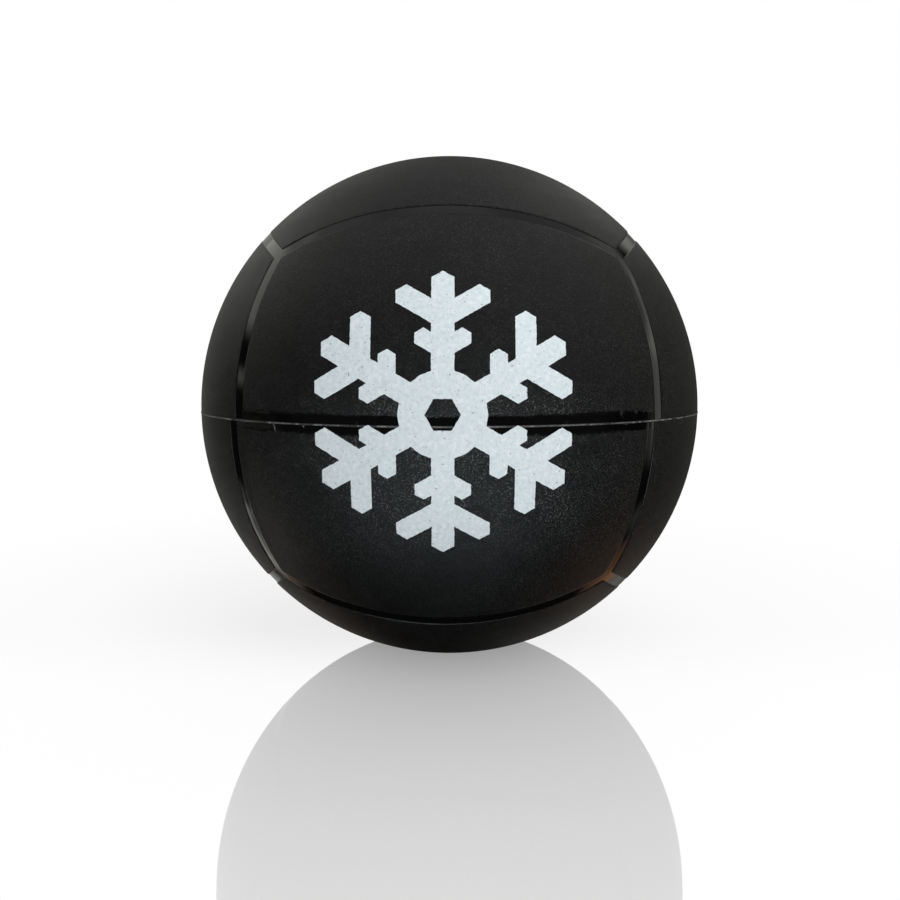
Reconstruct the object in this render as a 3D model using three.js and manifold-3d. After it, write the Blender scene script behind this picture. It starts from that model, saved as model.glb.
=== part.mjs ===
// Broomball ball: two moulded rubber half shells bonded at the equator, with an inflation valve.
// Millimetres and degrees, +Z up, origin at the centre of the ball.
// The panel that carries the print faces -Y, and the valve sits in the upper half at the back.
// The outside is divided like a cube blown up to a ball: six panels, parted by recessed bands
// that follow twelve great circle arcs. The equator cuts the four side panels in half.

import * as THREE from 'three';
import { mergeVertices } from 'three/addons/utils/BufferGeometryUtils.js';
import Module from 'manifold-3d';

// Driving dimensions of the shell
const ballDiameter = 152;
const wallThickness = 3.6;
const sidePanelHalfHeight = 43.8; // degrees from the equator to the bands round the top panel
const registerError = -2.3; // degrees that the lower half is bonded out of line with the upper

// Driving dimensions of the recessed bands between the panels
const bandWidth = 4.3;
const bandSlope = 0.45; // width of the slanted side that runs down from a panel to the floor
const bandDepth = 0.27;

// Driving dimensions of the bonded joint at the equator
const jointThickness = 0.6;
const jointProud = 0.12; // height of the flash line above the panels
const jointTip = 0.3; // width of the flash line at its crest
const beadWidth = 3.4; // cement that squeezed out along the inside
const beadHeight = 1.1;

// Driving dimensions of the valve housing, a flanged rubber boot behind the wall
const valveElevation = 22; // degrees above the equator, on the back panel
const neckDiameter = 9;
const neckRecess = 0.25; // depth of the neck's end below the panel
const flangeDiameter = 27;
const flangeRootThickness = 2.2;
const flangeEdgeThickness = 0.8;
const barrelDiameter = 9.6;
const barrelLength = 15; // from the inner wall of the ball
const boreDiameter = 4.4;

// Driving dimensions of the valve plug, which closes round the inflating needle
const headDiameter = 6.6;
const headThickness = 1.3;
const ridgeHeight = 0.6; // the ring that locks the plug in the bore
const ridgeLength = 2.4;
const ridgeDepth = 8.5; // from the panel to the middle of the ridge
const plugTail = 1.2; // length of plug that stands out of the barrel's inner end
const needleMouthDiameter = 1.8;
const needleMouthDepth = 1.3;

// Clearances
const seatClearance = 0.3; // between pieces that seat in each other
const cementClearance = 0.45; // the layer of cement under the flange and behind the bead

// Fineness of the surfaces
const cellsAcrossPanel = 14; // an even number, so that a line runs through each panel's middle
const ringSegments = 96;
const turnedSegments = 32;
const arcSteps = 4;
const beadSteps = 6;

// Derived sizes
const outerRadius = ballDiameter / 2;
const innerRadius = outerRadius - wallThickness;
const floorRadius = outerRadius - bandDepth;
const neckRadius = neckDiameter / 2;
const boreRadius = boreDiameter / 2;
const up = new THREE.Vector3(0, 0, 1);

const manifoldLibrary = await Module();
manifoldLibrary.setup();

// How far a sphere about the ball's centre reaches at a distance from the axis or the equator.
function sphereReach(radius, distance) {
  return Math.sqrt(radius * radius - distance * distance);
}

// Panel grid

// A grid line of the ball's surface lies in a plane: its unit normal and distance from the centre.
// Lines in a band are on its floor, and all other lines are at the height of the panels.
function gridLine(normal, distance, inBand = false) {
  return { normal, distance, inBand };
}

// The plane that holds a panel's other axis and leans from its outward direction to the side.
function leaningNormal(outward, sideways, degrees) {
  const angle = THREE.MathUtils.degToRad(degrees);
  return outward.clone().multiplyScalar(Math.sin(angle)).addScaledVector(sideways, -Math.cos(angle));
}

// The band beside a panel: the edge of the panel, the edge of the floor and the band's middle.
function bandLines(outward, sideways) {
  const normal = leaningNormal(outward, sideways, 45);
  return [
    gridLine(normal, bandWidth / 2),
    gridLine(normal, bandWidth / 2 - bandSlope, true),
    gridLine(normal, 0, true),
  ];
}

// Great circles that divide a panel evenly, between the angles of its ends.
function panelLines(outward, sideways, from, cells) {
  const lines = [];
  for (let i = 1; i < cells; i += 1) {
    const angle = from + ((45 - from) * i) / cells;
    lines.push(gridLine(leaningNormal(outward, sideways, angle), 0));
  }
  return lines;
}

// All lines from the band on one side of a panel to the band on the other.
function linesAcross(outward, sideways) {
  return [
    ...bandLines(outward, sideways.clone().negate()).reverse(),
    ...panelLines(outward, sideways, -45, cellsAcrossPanel),
    ...bandLines(outward, sideways),
  ];
}

// The lines of the upper half of a side panel, from the equator to the band above.
function linesUpward(outward) {
  const equator = gridLine(up, 0);
  return [equator, ...panelLines(outward, up, 0, cellsAcrossPanel / 2), ...bandLines(outward, up)];
}

// The point at a radius where two grid lines of a blown-up cube cross, on the panel's side.
function crossing(lineA, lineB, radius, outward) {
  const lean = lineA.normal.dot(lineB.normal);
  const rest = 1 - lean * lean;
  const a = (lineA.distance - lean * lineB.distance) / rest;
  const b = (lineB.distance - lean * lineA.distance) / rest;
  const reached = a * a + b * b + 2 * a * b * lean;
  const along = new THREE.Vector3().crossVectors(lineA.normal, lineB.normal);
  const side = Math.sign(along.dot(outward));
  return along
    .multiplyScalar(side * Math.sqrt((radius * radius - reached) / rest))
    .addScaledVector(lineA.normal, a)
    .addScaledVector(lineB.normal, b);
}

// The side panels are a little lower than a cube's, so all heights are drawn in by one ratio.
function drawnIn(point, radius) {
  point.z *= Math.tan(THREE.MathUtils.degToRad(sidePanelHalfHeight));
  return point.setLength(radius);
}

// The rim is a flat face, half a joint above the equator.
function liftedToRim(point, radius) {
  const height = jointThickness / 2;
  return point.setZ(0).setLength(sphereReach(radius, height)).setZ(height);
}

// The grid points of one panel, row by row, at the radius that each pair of lines asks for.
function panelPoints(panel, radiusOf) {
  return panel.rows.map((row, level) => panel.columns.map((column) => {
    const radius = radiusOf(column, row);
    const point = drawnIn(crossing(column, row, radius, panel.outward), radius);
    return panel.reachesRim && level === 0 ? liftedToRim(point, radius) : point;
  }));
}

// The panels of one half: the whole cap and the upper halves of the four side panels.
function halfPanels() {
  const panels = [{
    outward: up,
    columns: linesAcross(up, new THREE.Vector3(1, 0, 0)),
    rows: linesAcross(up, new THREE.Vector3(0, 1, 0)),
    reachesRim: false,
  }];
  for (const [x, y] of [[0, -1], [1, 0], [0, 1], [-1, 0]]) {
    const outward = new THREE.Vector3(x, y, 0);
    panels.push({
      outward,
      columns: linesAcross(outward, new THREE.Vector3().crossVectors(up, outward)),
      rows: linesUpward(outward),
      reachesRim: true,
    });
  }
  return panels;
}

// Half shell

function addQuad(positions, a, b, c, d) {
  for (const point of [a, b, c, a, c, d]) {
    positions.push(point.x, point.y, point.z);
  }
}

function addSurface(positions, grid, facesInward) {
  for (let j = 1; j < grid.length; j += 1) {
    for (let i = 1; i < grid[j].length; i += 1) {
      const [a, b, c, d] = [grid[j - 1][i - 1], grid[j - 1][i], grid[j][i], grid[j][i - 1]];
      if (facesInward) {
        addQuad(positions, d, c, b, a);
      } else {
        addQuad(positions, a, b, c, d);
      }
    }
  }
}

// The flat rim at the joint closes the wall between the outer and the inner surface.
function addRim(positions, outerRow, innerRow) {
  for (let i = 1; i < outerRow.length; i += 1) {
    addQuad(positions, outerRow[i], outerRow[i - 1], innerRow[i - 1], innerRow[i]);
  }
}

function weld(geometry) {
  geometry.deleteAttribute('normal');
  geometry.deleteAttribute('uv');
  return mergeVertices(geometry, 1e-4);
}

function makeHalfShell() {
  const positions = [];
  const outside = (column, row) => (column.inBand || row.inBand ? floorRadius : outerRadius);
  const inside = () => innerRadius;
  for (const panel of halfPanels()) {
    const outer = panelPoints(panel, outside);
    const inner = panelPoints(panel, inside);
    addSurface(positions, outer, false);
    addSurface(positions, inner, true);
    if (panel.reachesRim) {
      addRim(positions, outer[0], inner[0]);
    }
  }
  const geometry = new THREE.BufferGeometry();
  geometry.setAttribute('position', new THREE.Float32BufferAttribute(positions, 3));
  return weld(geometry);
}

// Solids

function toManifold(geometry) {
  const mesh = new manifoldLibrary.Mesh({
    numProp: 3,
    vertProperties: new Float32Array(geometry.attributes.position.array),
    triVerts: new Uint32Array(geometry.index.array),
  });
  return new manifoldLibrary.Manifold(mesh);
}

function toGeometry(solid) {
  const mesh = solid.getMesh();
  const geometry = new THREE.BufferGeometry();
  geometry.setAttribute('position', new THREE.BufferAttribute(mesh.vertProperties, 3));
  geometry.setIndex(new THREE.BufferAttribute(mesh.triVerts, 1));
  return geometry;
}

// A turned solid about +Z from a profile of radius and height, taken from the bottom up outside.
function turned(profile, segments) {
  const points = profile.map(([radius, height]) => new THREE.Vector2(radius, height));
  return new THREE.LatheGeometry(points, segments).rotateX(Math.PI / 2);
}

// Points along a sphere about the ball's centre, from one distance from the axis to another.
function sphereArc(radius, from, to) {
  const points = [];
  for (let i = 0; i <= arcSteps; i += 1) {
    const distance = from + ((to - from) * i) / arcSteps;
    points.push([distance, sphereReach(radius, distance)]);
  }
  return points;
}

// Valve

const valveDirection = new THREE.Vector3(0, 1, 0)
  .applyAxisAngle(new THREE.Vector3(1, 0, 0), THREE.MathUtils.degToRad(valveElevation));
const neckTop = outerRadius - neckRecess;
const barrelEnd = innerRadius - barrelLength;
const headRadius = headDiameter / 2;
const headSeat = neckTop - headThickness;
const ridgeMiddle = outerRadius - ridgeDepth;
const flangeFace = innerRadius - cementClearance;

function placeInWall(object) {
  object.quaternion.setFromUnitVectors(up, valveDirection);
  return object;
}

function cutValveHole(shellGeometry) {
  const holeRadius = neckRadius + seatClearance;
  const cutter = new THREE.CylinderGeometry(holeRadius, holeRadius, 4 * wallThickness, turnedSegments);
  cutter.rotateX(Math.PI / 2).translate(0, 0, outerRadius);
  const placed = placeInWall(new THREE.Mesh(weld(cutter)));
  placed.updateMatrix();
  placed.geometry.applyMatrix4(placed.matrix);
  return toGeometry(toManifold(shellGeometry).subtract(toManifold(placed.geometry)));
}

function makeValveHousing() {
  const flangeRadius = flangeDiameter / 2;
  const barrelRadius = barrelDiameter / 2;
  const grooveRadius = boreRadius + ridgeHeight;
  const grooveHalf = ridgeLength / 2;
  const counterbore = headRadius + seatClearance;
  const flangeUnder = sphereReach(flangeFace, flangeRadius) - flangeEdgeThickness;
  return turned([
    [boreRadius, barrelEnd],
    [barrelRadius, barrelEnd],
    [barrelRadius, sphereReach(flangeFace, barrelRadius) - flangeRootThickness],
    [flangeRadius, flangeUnder],
    ...sphereArc(flangeFace, flangeRadius, neckRadius),
    [neckRadius, sphereReach(neckTop, neckRadius)],
    [counterbore, sphereReach(neckTop, counterbore)],
    [counterbore, headSeat],
    [boreRadius, headSeat],
    [boreRadius, ridgeMiddle + grooveHalf],
    [grooveRadius, ridgeMiddle],
    [boreRadius, ridgeMiddle - grooveHalf],
    [boreRadius, barrelEnd],
  ], turnedSegments);
}

function makeValvePlug() {
  const stemRadius = boreRadius - seatClearance;
  const mouthRadius = needleMouthDiameter / 2;
  const tip = barrelEnd - plugTail;
  return turned([
    [0, tip],
    [stemRadius / 2, tip],
    [stemRadius, tip + stemRadius / 2],
    [stemRadius, ridgeMiddle - ridgeLength / 2],
    [stemRadius + ridgeHeight, ridgeMiddle],
    [stemRadius, ridgeMiddle + ridgeLength / 2],
    [stemRadius, headSeat + seatClearance],
    [headRadius, headSeat + seatClearance],
    ...sphereArc(neckTop, headRadius, mouthRadius),
    [0, neckTop - needleMouthDepth],
  ], turnedSegments);
}

// Joint at the equator

// Cured cement: a flash line outside, a web between the rims and a rounded bead inside.
function makeSeamBond() {
  const half = jointThickness / 2;
  const crest = outerRadius + jointProud;
  const beadFoot = innerRadius - cementClearance;
  const bead = [];
  for (let i = 0; i <= beadSteps; i += 1) {
    const angle = Math.PI * (0.5 - i / beadSteps);
    bead.push([beadFoot - beadHeight * Math.cos(angle), (beadWidth / 2) * Math.sin(angle)]);
  }
  return turned([
    [beadFoot, -half],
    [outerRadius, -half],
    [crest, -jointTip / 2],
    [crest, jointTip / 2],
    [outerRadius, half],
    [beadFoot, half],
    ...bead,
    [beadFoot, -half],
  ], ringSegments);
}

// Assembly

const shellRubber = { color: 0x1b1c1c, roughness: 0.62, metalness: 0 };
const bondRubber = { color: 0x6f706c, roughness: 0.55, metalness: 0 };
const valveRubber = { color: 0x262626, roughness: 0.5, metalness: 0 };
const plugRubber = { color: 0x141414, roughness: 0.4, metalness: 0 };

function piece(name, geometry, look) {
  const mesh = new THREE.Mesh(geometry, new THREE.MeshStandardMaterial(look));
  mesh.name = name;
  return mesh;
}

const halfShell = makeHalfShell();
const upperHalf = piece('upper_half_shell', cutValveHole(halfShell), shellRubber);

// The lower half is the same moulding turned over about the X axis, and bonded out of line.
const lowerHalf = piece('lower_half_shell', halfShell.clone().scale(1, -1, -1), shellRubber);
lowerHalf.rotation.z = THREE.MathUtils.degToRad(registerError);

const seamBond = piece('seam_bond', makeSeamBond(), bondRubber);
const valveHousing = placeInWall(piece('valve_housing', makeValveHousing(), valveRubber));
const valvePlug = placeInWall(piece('valve_plug', makeValvePlug(), plugRubber));

const ball = new THREE.Group();
ball.add(upperHalf, lowerHalf, seamBond, valveHousing, valvePlug);

export default ball;
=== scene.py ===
import math

import bmesh
import bpy
from mathutils import Matrix, Vector


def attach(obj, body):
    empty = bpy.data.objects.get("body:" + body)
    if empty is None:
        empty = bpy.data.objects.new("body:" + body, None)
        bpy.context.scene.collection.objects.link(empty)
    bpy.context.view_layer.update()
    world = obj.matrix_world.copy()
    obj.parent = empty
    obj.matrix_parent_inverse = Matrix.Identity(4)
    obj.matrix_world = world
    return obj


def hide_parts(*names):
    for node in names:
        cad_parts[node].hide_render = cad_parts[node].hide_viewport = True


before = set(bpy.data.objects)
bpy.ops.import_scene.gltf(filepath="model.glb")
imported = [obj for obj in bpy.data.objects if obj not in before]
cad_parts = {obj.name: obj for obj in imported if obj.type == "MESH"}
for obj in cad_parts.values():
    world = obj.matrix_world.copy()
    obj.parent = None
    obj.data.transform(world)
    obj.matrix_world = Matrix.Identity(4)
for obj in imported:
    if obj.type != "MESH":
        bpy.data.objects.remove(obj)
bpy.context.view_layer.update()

# Broomball ball, metres, +Z up, origin at the centre of the ball.
# The print faces -Y, and the valve is at the back in the upper half.

MM = 0.001

# Shell, as in the solids but for the band's slopes, which are worn softer here
BALL_RADIUS = 76 * MM
WALL_THICKNESS = 3.6 * MM
SIDE_PANEL_HALF_HEIGHT = 43.8  # degrees from the equator to the bands round the top panel
REGISTER_ERROR = -2.3  # degrees that the lower half is bonded out of line with the upper
BAND_WIDTH = 4.3 * MM
BAND_SLOPE = 0.7 * MM
BAND_DEPTH = 0.27 * MM
BAND_UNEVENNESS = 0.05 * MM
BAND_SHALLOWEST = 0.15  # the least part of its depth that a band keeps where it is filled

# Bonded joint at the equator
JOINT_THICKNESS = 0.6 * MM
JOINT_PROUD = 0.12 * MM
BEAD_WIDTH = 3.4 * MM
BEAD_HEIGHT = 1.1 * MM
CEMENT_CLEARANCE = 0.45 * MM
FLASH_UNEVENNESS = 0.05 * MM
FRONT_LOWERING = 0.05 * MM  # how far the flash is rubbed down on the front
TAILS = [  # loose ends of cement: bearings from the middle of the front, heights and half widths
    [(-34.6, -0.1, 0.16), (-34.2, -0.7, 0.14), (-34.1, -1.4, 0.1), (-33.8, -2.1, 0.06)],
    [(33.2, 0.2, 0.07), (34.4, -0.25, 0.12), (35.4, -0.3, 0.15), (36.1, -0.05, 0.13), (36.3, 0.4, 0.06)],
    [(-27.4, -0.3, 0.16), (-27.0, -0.75, 0.1)],
]

# Valve
VALVE_ELEVATION = 22  # degrees above the equator
NECK_RADIUS = 4.5 * MM
NECK_RECESS = 0.25 * MM
FLANGE_RADIUS = 13.5 * MM
FLANGE_ROOT = 2.2 * MM
FLANGE_EDGE = 0.8 * MM
FLANGE_MIDDLE = 9 * MM  # the radius at which the flange's curve has its own ring of points
BARREL_RADIUS = 4.8 * MM
BARREL_LENGTH = 15 * MM
BORE_RADIUS = 2.2 * MM
HEAD_RADIUS = 3.3 * MM
HEAD_THICKNESS = 1.3 * MM
RIDGE_HEIGHT = 0.6 * MM
RIDGE_LENGTH = 2.4 * MM
RIDGE_DEPTH = 8.5 * MM
PLUG_TAIL = 1.2 * MM
NEEDLE_MOUTH_RADIUS = 0.9 * MM
NEEDLE_MOUTH_DEPTH = 1.3 * MM
SEAT_CLEARANCE = 0.3 * MM
SOFT_EDGE = 0.25 * MM
BARREL_EDGE = 0.6 * MM
HEAD_EDGE = 0.35 * MM
NEEDLE_MOUTH_EDGE = 0.3 * MM
TURNED_SEGMENTS = 96

INNER_RADIUS = BALL_RADIUS - WALL_THICKNESS
HEIGHT_RATIO = math.tan(math.radians(SIDE_PANEL_HALF_HEIGHT))
NECK_TOP = BALL_RADIUS - NECK_RECESS
HEAD_SEAT = NECK_TOP - HEAD_THICKNESS
RIDGE_LEVEL = BALL_RADIUS - RIDGE_DEPTH
BARREL_END = INNER_RADIUS - BARREL_LENGTH

# Snowflake printed on the front panel
PRINT_CENTRE = (-1.2 * MM, 2.8 * MM)  # to the right and up from the middle of the ball
ARM_LENGTH = 33.5 * MM
SPINE_HALF_WIDTH = 2.7 * MM
HUB_HOLE = 4.2 * MM
HUB_REACH = 10.5 * MM
BRANCHES = [  # along the arm, length and half width
    (15.0 * MM, 6.4 * MM, 2.1 * MM),
    (22.4 * MM, 11.4 * MM, 2.5 * MM),
]
INK_THICKNESS = 0.03 * MM
INK_RAGGEDNESS = 0.35 * MM
INK_OVER_JOINT = 0.055 * MM  # how much higher the ink lies where it crosses the flash


# Node trees

class Wire:
    """An output of a node that can stand in a Python expression."""

    def __init__(self, graph, socket):
        self.graph = graph
        self.socket = socket

    def __add__(self, other):
        return self.graph.math("ADD", self, other)

    def __radd__(self, other):
        return self.graph.math("ADD", other, self)

    def __sub__(self, other):
        return self.graph.math("SUBTRACT", self, other)

    def __rsub__(self, other):
        return self.graph.math("SUBTRACT", other, self)

    def __mul__(self, other):
        return self.graph.math("MULTIPLY", self, other)

    def __rmul__(self, other):
        return self.graph.math("MULTIPLY", other, self)

    def __truediv__(self, other):
        return self.graph.math("DIVIDE", self, other)

    def __rtruediv__(self, other):
        return self.graph.math("DIVIDE", other, self)

    def __lt__(self, other):
        return self.graph.math("LESS_THAN", self, other)

    def __gt__(self, other):
        return self.graph.math("GREATER_THAN", self, other)

    def __abs__(self):
        return self.graph.math("ABSOLUTE", self)

    def other(self, name):
        """Another output of the same node."""
        return Wire(self.graph, self.socket.node.outputs[name])


class Graph:
    """A node tree that grows by expressions."""

    def __init__(self, tree):
        self.tree = tree

    def feed(self, socket, value):
        """Links a wire, or several, or sets a plain value."""
        if isinstance(value, Wire):
            self.tree.links.new(value.socket, socket)
        elif isinstance(value, list):
            for one in value:
                self.feed(socket, one)
        else:
            socket.default_value = value

    def node(self, kind, settings=None, inputs=None, output=0):
        """Adds a node with its settings and what its sockets get, and gives one of its outputs."""
        made = self.tree.nodes.new(kind)
        for name, value in (settings or {}).items():
            setattr(made, name, value)
        for key, value in (inputs or {}).items():
            self.feed(made.inputs[key], value)
        return Wire(self, made.outputs[output]) if made.outputs else None

    def math(self, operation, *values):
        return self.node("ShaderNodeMath", {"operation": operation}, dict(enumerate(values)))

    def vector(self, operation, *values, output="Vector"):
        settings = {"operation": operation}
        return self.node("ShaderNodeVectorMath", settings, dict(enumerate(values)), output)

    def scaled(self, vector, factor):
        return self.node("ShaderNodeVectorMath", {"operation": "SCALE"}, {0: vector, "Scale": factor})

    def dot(self, first, second):
        return self.vector("DOT_PRODUCT", first, second, output="Value")

    def length(self, vector):
        return self.vector("LENGTH", vector, output="Value")

    def combine(self, x, y, z):
        return self.node("ShaderNodeCombineXYZ", None, {0: x, 1: y, 2: z})

    def axis(self, vector, name):
        return self.node("ShaderNodeSeparateXYZ", None, {0: vector}, name)

    def sharper(self, value, start, end, low=0.0, high=1.0):
        """A soft step from one value to another between start and end."""
        settings = {"interpolation_type": "SMOOTHSTEP"}
        inputs = {0: value, 1: start, 2: end, 3: low, 4: high}
        return self.node("ShaderNodeMapRange", settings, inputs)

    def ranged(self, value, start, end, low, high):
        """A straight ramp from one value to another between start and end."""
        return self.node("ShaderNodeMapRange", None, {0: value, 1: start, 2: end, 3: low, 4: high})

    def noise(self, place, scale, detail):
        return self.node("ShaderNodeTexNoise", None, {"Vector": place, "Scale": scale, "Detail": detail})

    def grey(self, value):
        """A neutral colour whose brightness varies."""
        return self.node("ShaderNodeCombineColor", None, {0: value, 1: value, 2: value})

    def mixed(self, factor, first, second):
        """A blend of two colours, by the Mix node's colour sockets."""
        return self.node("ShaderNodeMix", {"data_type": "RGBA"}, {0: factor, 6: first, 7: second}, 2)


# Geometry recipes

def new_recipe(name, inputs):
    """A Geometry Nodes tree with named inputs, and the wires that bring them."""
    tree = bpy.data.node_groups.new(name, "GeometryNodeTree")
    for label, kind in inputs:
        tree.interface.new_socket(name=label, in_out="INPUT", socket_type="NodeSocket" + kind)
    tree.interface.new_socket(name="Geometry", in_out="OUTPUT", socket_type="NodeSocketGeometry")
    graph = Graph(tree)
    source = graph.node("NodeGroupInput")
    return graph, {label: source.other(label) for label, kind in inputs}


def finish_recipe(graph, geometry, material):
    """Ends a recipe in plain geometry that carries its material."""
    realized = graph.node("GeometryNodeRealizeInstances", None, {0: geometry})
    dressed = graph.node("GeometryNodeSetMaterial", None, {"Geometry": realized, "Material": material})
    graph.node("NodeGroupOutput", None, {0: dressed})


def follow_recipe(name, tree, values, start_mesh=None):
    """Runs a recipe and gives the result as a plain mesh on an object of its own."""
    host = bpy.data.objects.new(name + "_host", start_mesh or bpy.data.meshes.new(name + "_start"))
    bpy.context.scene.collection.objects.link(host)
    modifier = host.modifiers.new("recipe", "NODES")
    modifier.node_group = tree
    for item in tree.interface.items_tree:
        if item.item_type == "SOCKET" and item.in_out == "INPUT" and item.name in values:
            modifier[item.identifier] = values[item.name]
    return made_plain(host, name)


def made_plain(host, name):
    """The evaluated shape of an object, as a plain mesh on a new object."""
    bpy.context.view_layer.update()
    evaluated = host.evaluated_get(bpy.context.evaluated_depsgraph_get())
    mesh = bpy.data.meshes.new_from_object(evaluated)
    mesh.name = name
    while mesh.materials and mesh.materials[0] is None:
        mesh.materials.pop(index=0)
    bpy.data.objects.remove(host)
    return placed(name, mesh)


def placed(name, mesh):
    piece = bpy.data.objects.new(name, mesh)
    bpy.context.scene.collection.objects.link(piece)
    return piece


def smoothed(piece, sharp_angle):
    piece.data.shade_smooth()
    piece.data.set_sharp_from_angle(angle=math.radians(sharp_angle))
    return piece


def solid_between(graph, skin, inner_offset):
    """Closes a skin into a wall: the skin, an inner copy moved by an offset, and its rim."""
    extruded = graph.node(
        "GeometryNodeExtrudeMesh", {"mode": "FACES"},
        {"Mesh": skin, "Offset Scale": 0.0, "Individual": False})
    moved = graph.node(
        "GeometryNodeSetPosition", None,
        {"Geometry": extruded, "Selection": extruded.other("Top"), "Position": inner_offset})
    flipped = graph.node("GeometryNodeFlipFaces", None, {"Mesh": moved})
    joined = graph.node("GeometryNodeJoinGeometry", None, {"Geometry": [skin, flipped]})
    return graph.node("GeometryNodeMergeByDistance", None, {"Geometry": joined, "Distance": 1e-6})


# Half shell

HALF_SHELL_INPUTS = [
    ("Ball radius", "Float"), ("Wall thickness", "Float"), ("Height ratio", "Float"),
    ("Band width", "Float"), ("Band slope", "Float"), ("Band depth", "Float"),
    ("Joint thickness", "Float"), ("Panel cells", "Int"), ("Unevenness", "Float"),
    ("Shallowest", "Float"), ("Seed", "Float"), ("Rubber", "Material"),
]
PANEL_CELLS = 48
OUTSIDE_CELLS = 3  # beside the band, then down its slope, then across half its floor
SLOPE_CELLS = 6
FLOOR_CELLS = 3
BAND_CELLS = OUTSIDE_CELLS + SLOPE_CELLS + FLOOR_CELLS
OUTSIDE_WIDTH = 0.5 * MM
SLOPE_MARGIN = 0.06 * MM  # the slope's cells begin and end a little beyond it
LAST_PANEL_LINE = math.radians(41.8)  # the lean of the last grid line before the band
EQUATOR_MARGIN = 0.2 * MM  # faces that reach lower than this belong to the other half


def half_shell_recipe():
    """One moulded half: a blown-up cube's cap and four half panels, parted by recessed bands."""
    g, put = new_recipe("half shell", HALF_SHELL_INPUTS)
    radius = put["Ball radius"]
    half_cells = put["Panel cells"] / 2
    lines = put["Panel cells"] + 2 * BAND_CELLS
    grid = g.node("GeometryNodeMeshGrid", None, {0: lines, 1: lines, 2: lines + 1, 3: lines + 1})
    place = g.node("GeometryNodeInputPosition")
    half_band = put["Band width"] / 2
    floor_edge = half_band - put["Band slope"]

    def grid_plane(number):
        # The plane of one grid line: the side it is on, its lean and its distance from the centre
        side = (number > -0.01) * 2 - 1
        count = abs(number)
        in_band = count > half_cells + 0.5
        lean = count / half_cells * LAST_PANEL_LINE
        lean = lean + (math.radians(45) - lean) * in_band
        step = count - half_cells
        near = half_band + SLOPE_MARGIN
        far = floor_edge - SLOPE_MARGIN
        slope_end = OUTSIDE_CELLS + SLOPE_CELLS
        outside = g.ranged(step, 1, OUTSIDE_CELLS, OUTSIDE_WIDTH, 0)
        slope = g.ranged(step, OUTSIDE_CELLS, slope_end, near - far, 0)
        floor = g.ranged(step, slope_end, BAND_CELLS, far, 0)
        return side, lean, (outside + slope + floor) * in_band

    side_a, lean_a, distance_a = grid_plane(g.axis(place, "X"))
    side_b, lean_b, distance_b = grid_plane(g.axis(place, "Y"))
    normal_a = g.combine(0 - side_a * g.math("COSINE", lean_a), 0 - g.math("SINE", lean_a), 0.0)
    normal_b = g.combine(0.0, 0 - g.math("SINE", lean_b), 0 - side_b * g.math("COSINE", lean_b))

    # Where the two planes cross on the ball, on the front
    lean = g.dot(normal_a, normal_b)
    rest = 1 - lean * lean
    along_a = (distance_a - lean * distance_b) / rest
    along_b = (distance_b - lean * distance_a) / rest
    reached = along_a * along_a + along_b * along_b + 2 * along_a * along_b * lean
    across = g.vector("CROSS_PRODUCT", normal_a, normal_b)
    front = (g.dot(across, (0.0, -1.0, 0.0)) > 0) * 2 - 1
    root = g.math("SQRT", (radius * radius - reached) / rest)
    in_planes = g.vector("ADD", g.scaled(normal_a, along_a), g.scaled(normal_b, along_b))
    point = g.vector("ADD", g.scaled(across, front * root), in_planes)

    # How deep each point lies in a band, from 0 on the panels to 1 on the floor
    corner = math.sqrt(0.5)
    seam_a = g.combine(side_a * -corner, -corner, 0.0)
    seam_b = g.combine(0.0, -corner, side_b * -corner)
    sunk_a = g.sharper(g.dot(point, seam_a), half_band, floor_edge)
    sunk_b = g.sharper(g.dot(point, seam_b), half_band, floor_edge)
    sunk = 1 - (1 - sunk_a) * (1 - sunk_b)
    panel = g.node(
        "GeometryNodeStoreNamedAttribute", {"data_type": "FLOAT", "domain": "POINT"},
        {"Geometry": grid, "Name": "band", "Value": sunk})
    panel = g.node("GeometryNodeSetPosition", None, {"Geometry": panel, "Position": point})

    # The cap, and the same panel turned to each of the four sides
    turn = g.node("FunctionNodeEulerToRotation", None, {0: (-math.pi / 2, 0.0, 0.0)})
    cap = g.node("GeometryNodeTransform", None, {"Geometry": panel, "Rotation": turn})
    corners = g.node("GeometryNodePoints", None, {"Count": 4})
    quarter = g.node("GeometryNodeInputIndex") * (math.pi / 2)
    quarter_turn = g.node("FunctionNodeEulerToRotation", None, {0: g.combine(0.0, 0.0, quarter)})
    sides = g.node(
        "GeometryNodeInstanceOnPoints", None,
        {"Points": corners, "Instance": panel, "Rotation": quarter_turn})
    whole = g.node("GeometryNodeJoinGeometry", None, {"Geometry": [cap, sides]})
    whole = g.node("GeometryNodeRealizeInstances", None, {0: whole})
    whole = g.node("GeometryNodeMergeByDistance", None, {"Geometry": whole, "Distance": 5e-6})
    below = g.axis(place, "Z") < -EQUATOR_MARGIN
    half = g.node("GeometryNodeDeleteGeometry", {"domain": "FACE"}, {"Geometry": whole, "Selection": below})

    # Heights are drawn in, and the surface sinks into the bands a little unevenly
    drawn = g.vector("NORMALIZE", g.vector("MULTIPLY", place, g.combine(1.0, 1.0, put["Height ratio"])))
    shifted = g.vector("ADD", place, g.combine(put["Seed"], put["Seed"], put["Seed"]))
    swell = g.noise(shifted, 95.0, 2.0)
    ripple = g.noise(shifted, 260.0, 1.0)
    uneven = (swell - 0.5) * 1.6 + (ripple - 0.5) * 0.45
    filling = g.noise(shifted, 34.0, 1.0)
    share = g.ranged(filling, 0.36, 0.62, put["Shallowest"], 1.1)
    band = g.node("GeometryNodeInputNamedAttribute", {"data_type": "FLOAT"}, {"Name": "band"})
    reach = radius - band * (put["Band depth"] * share + uneven * put["Unevenness"])
    half = g.node("GeometryNodeSetPosition", None, {"Geometry": half, "Position": g.scaled(drawn, reach)})

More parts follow.
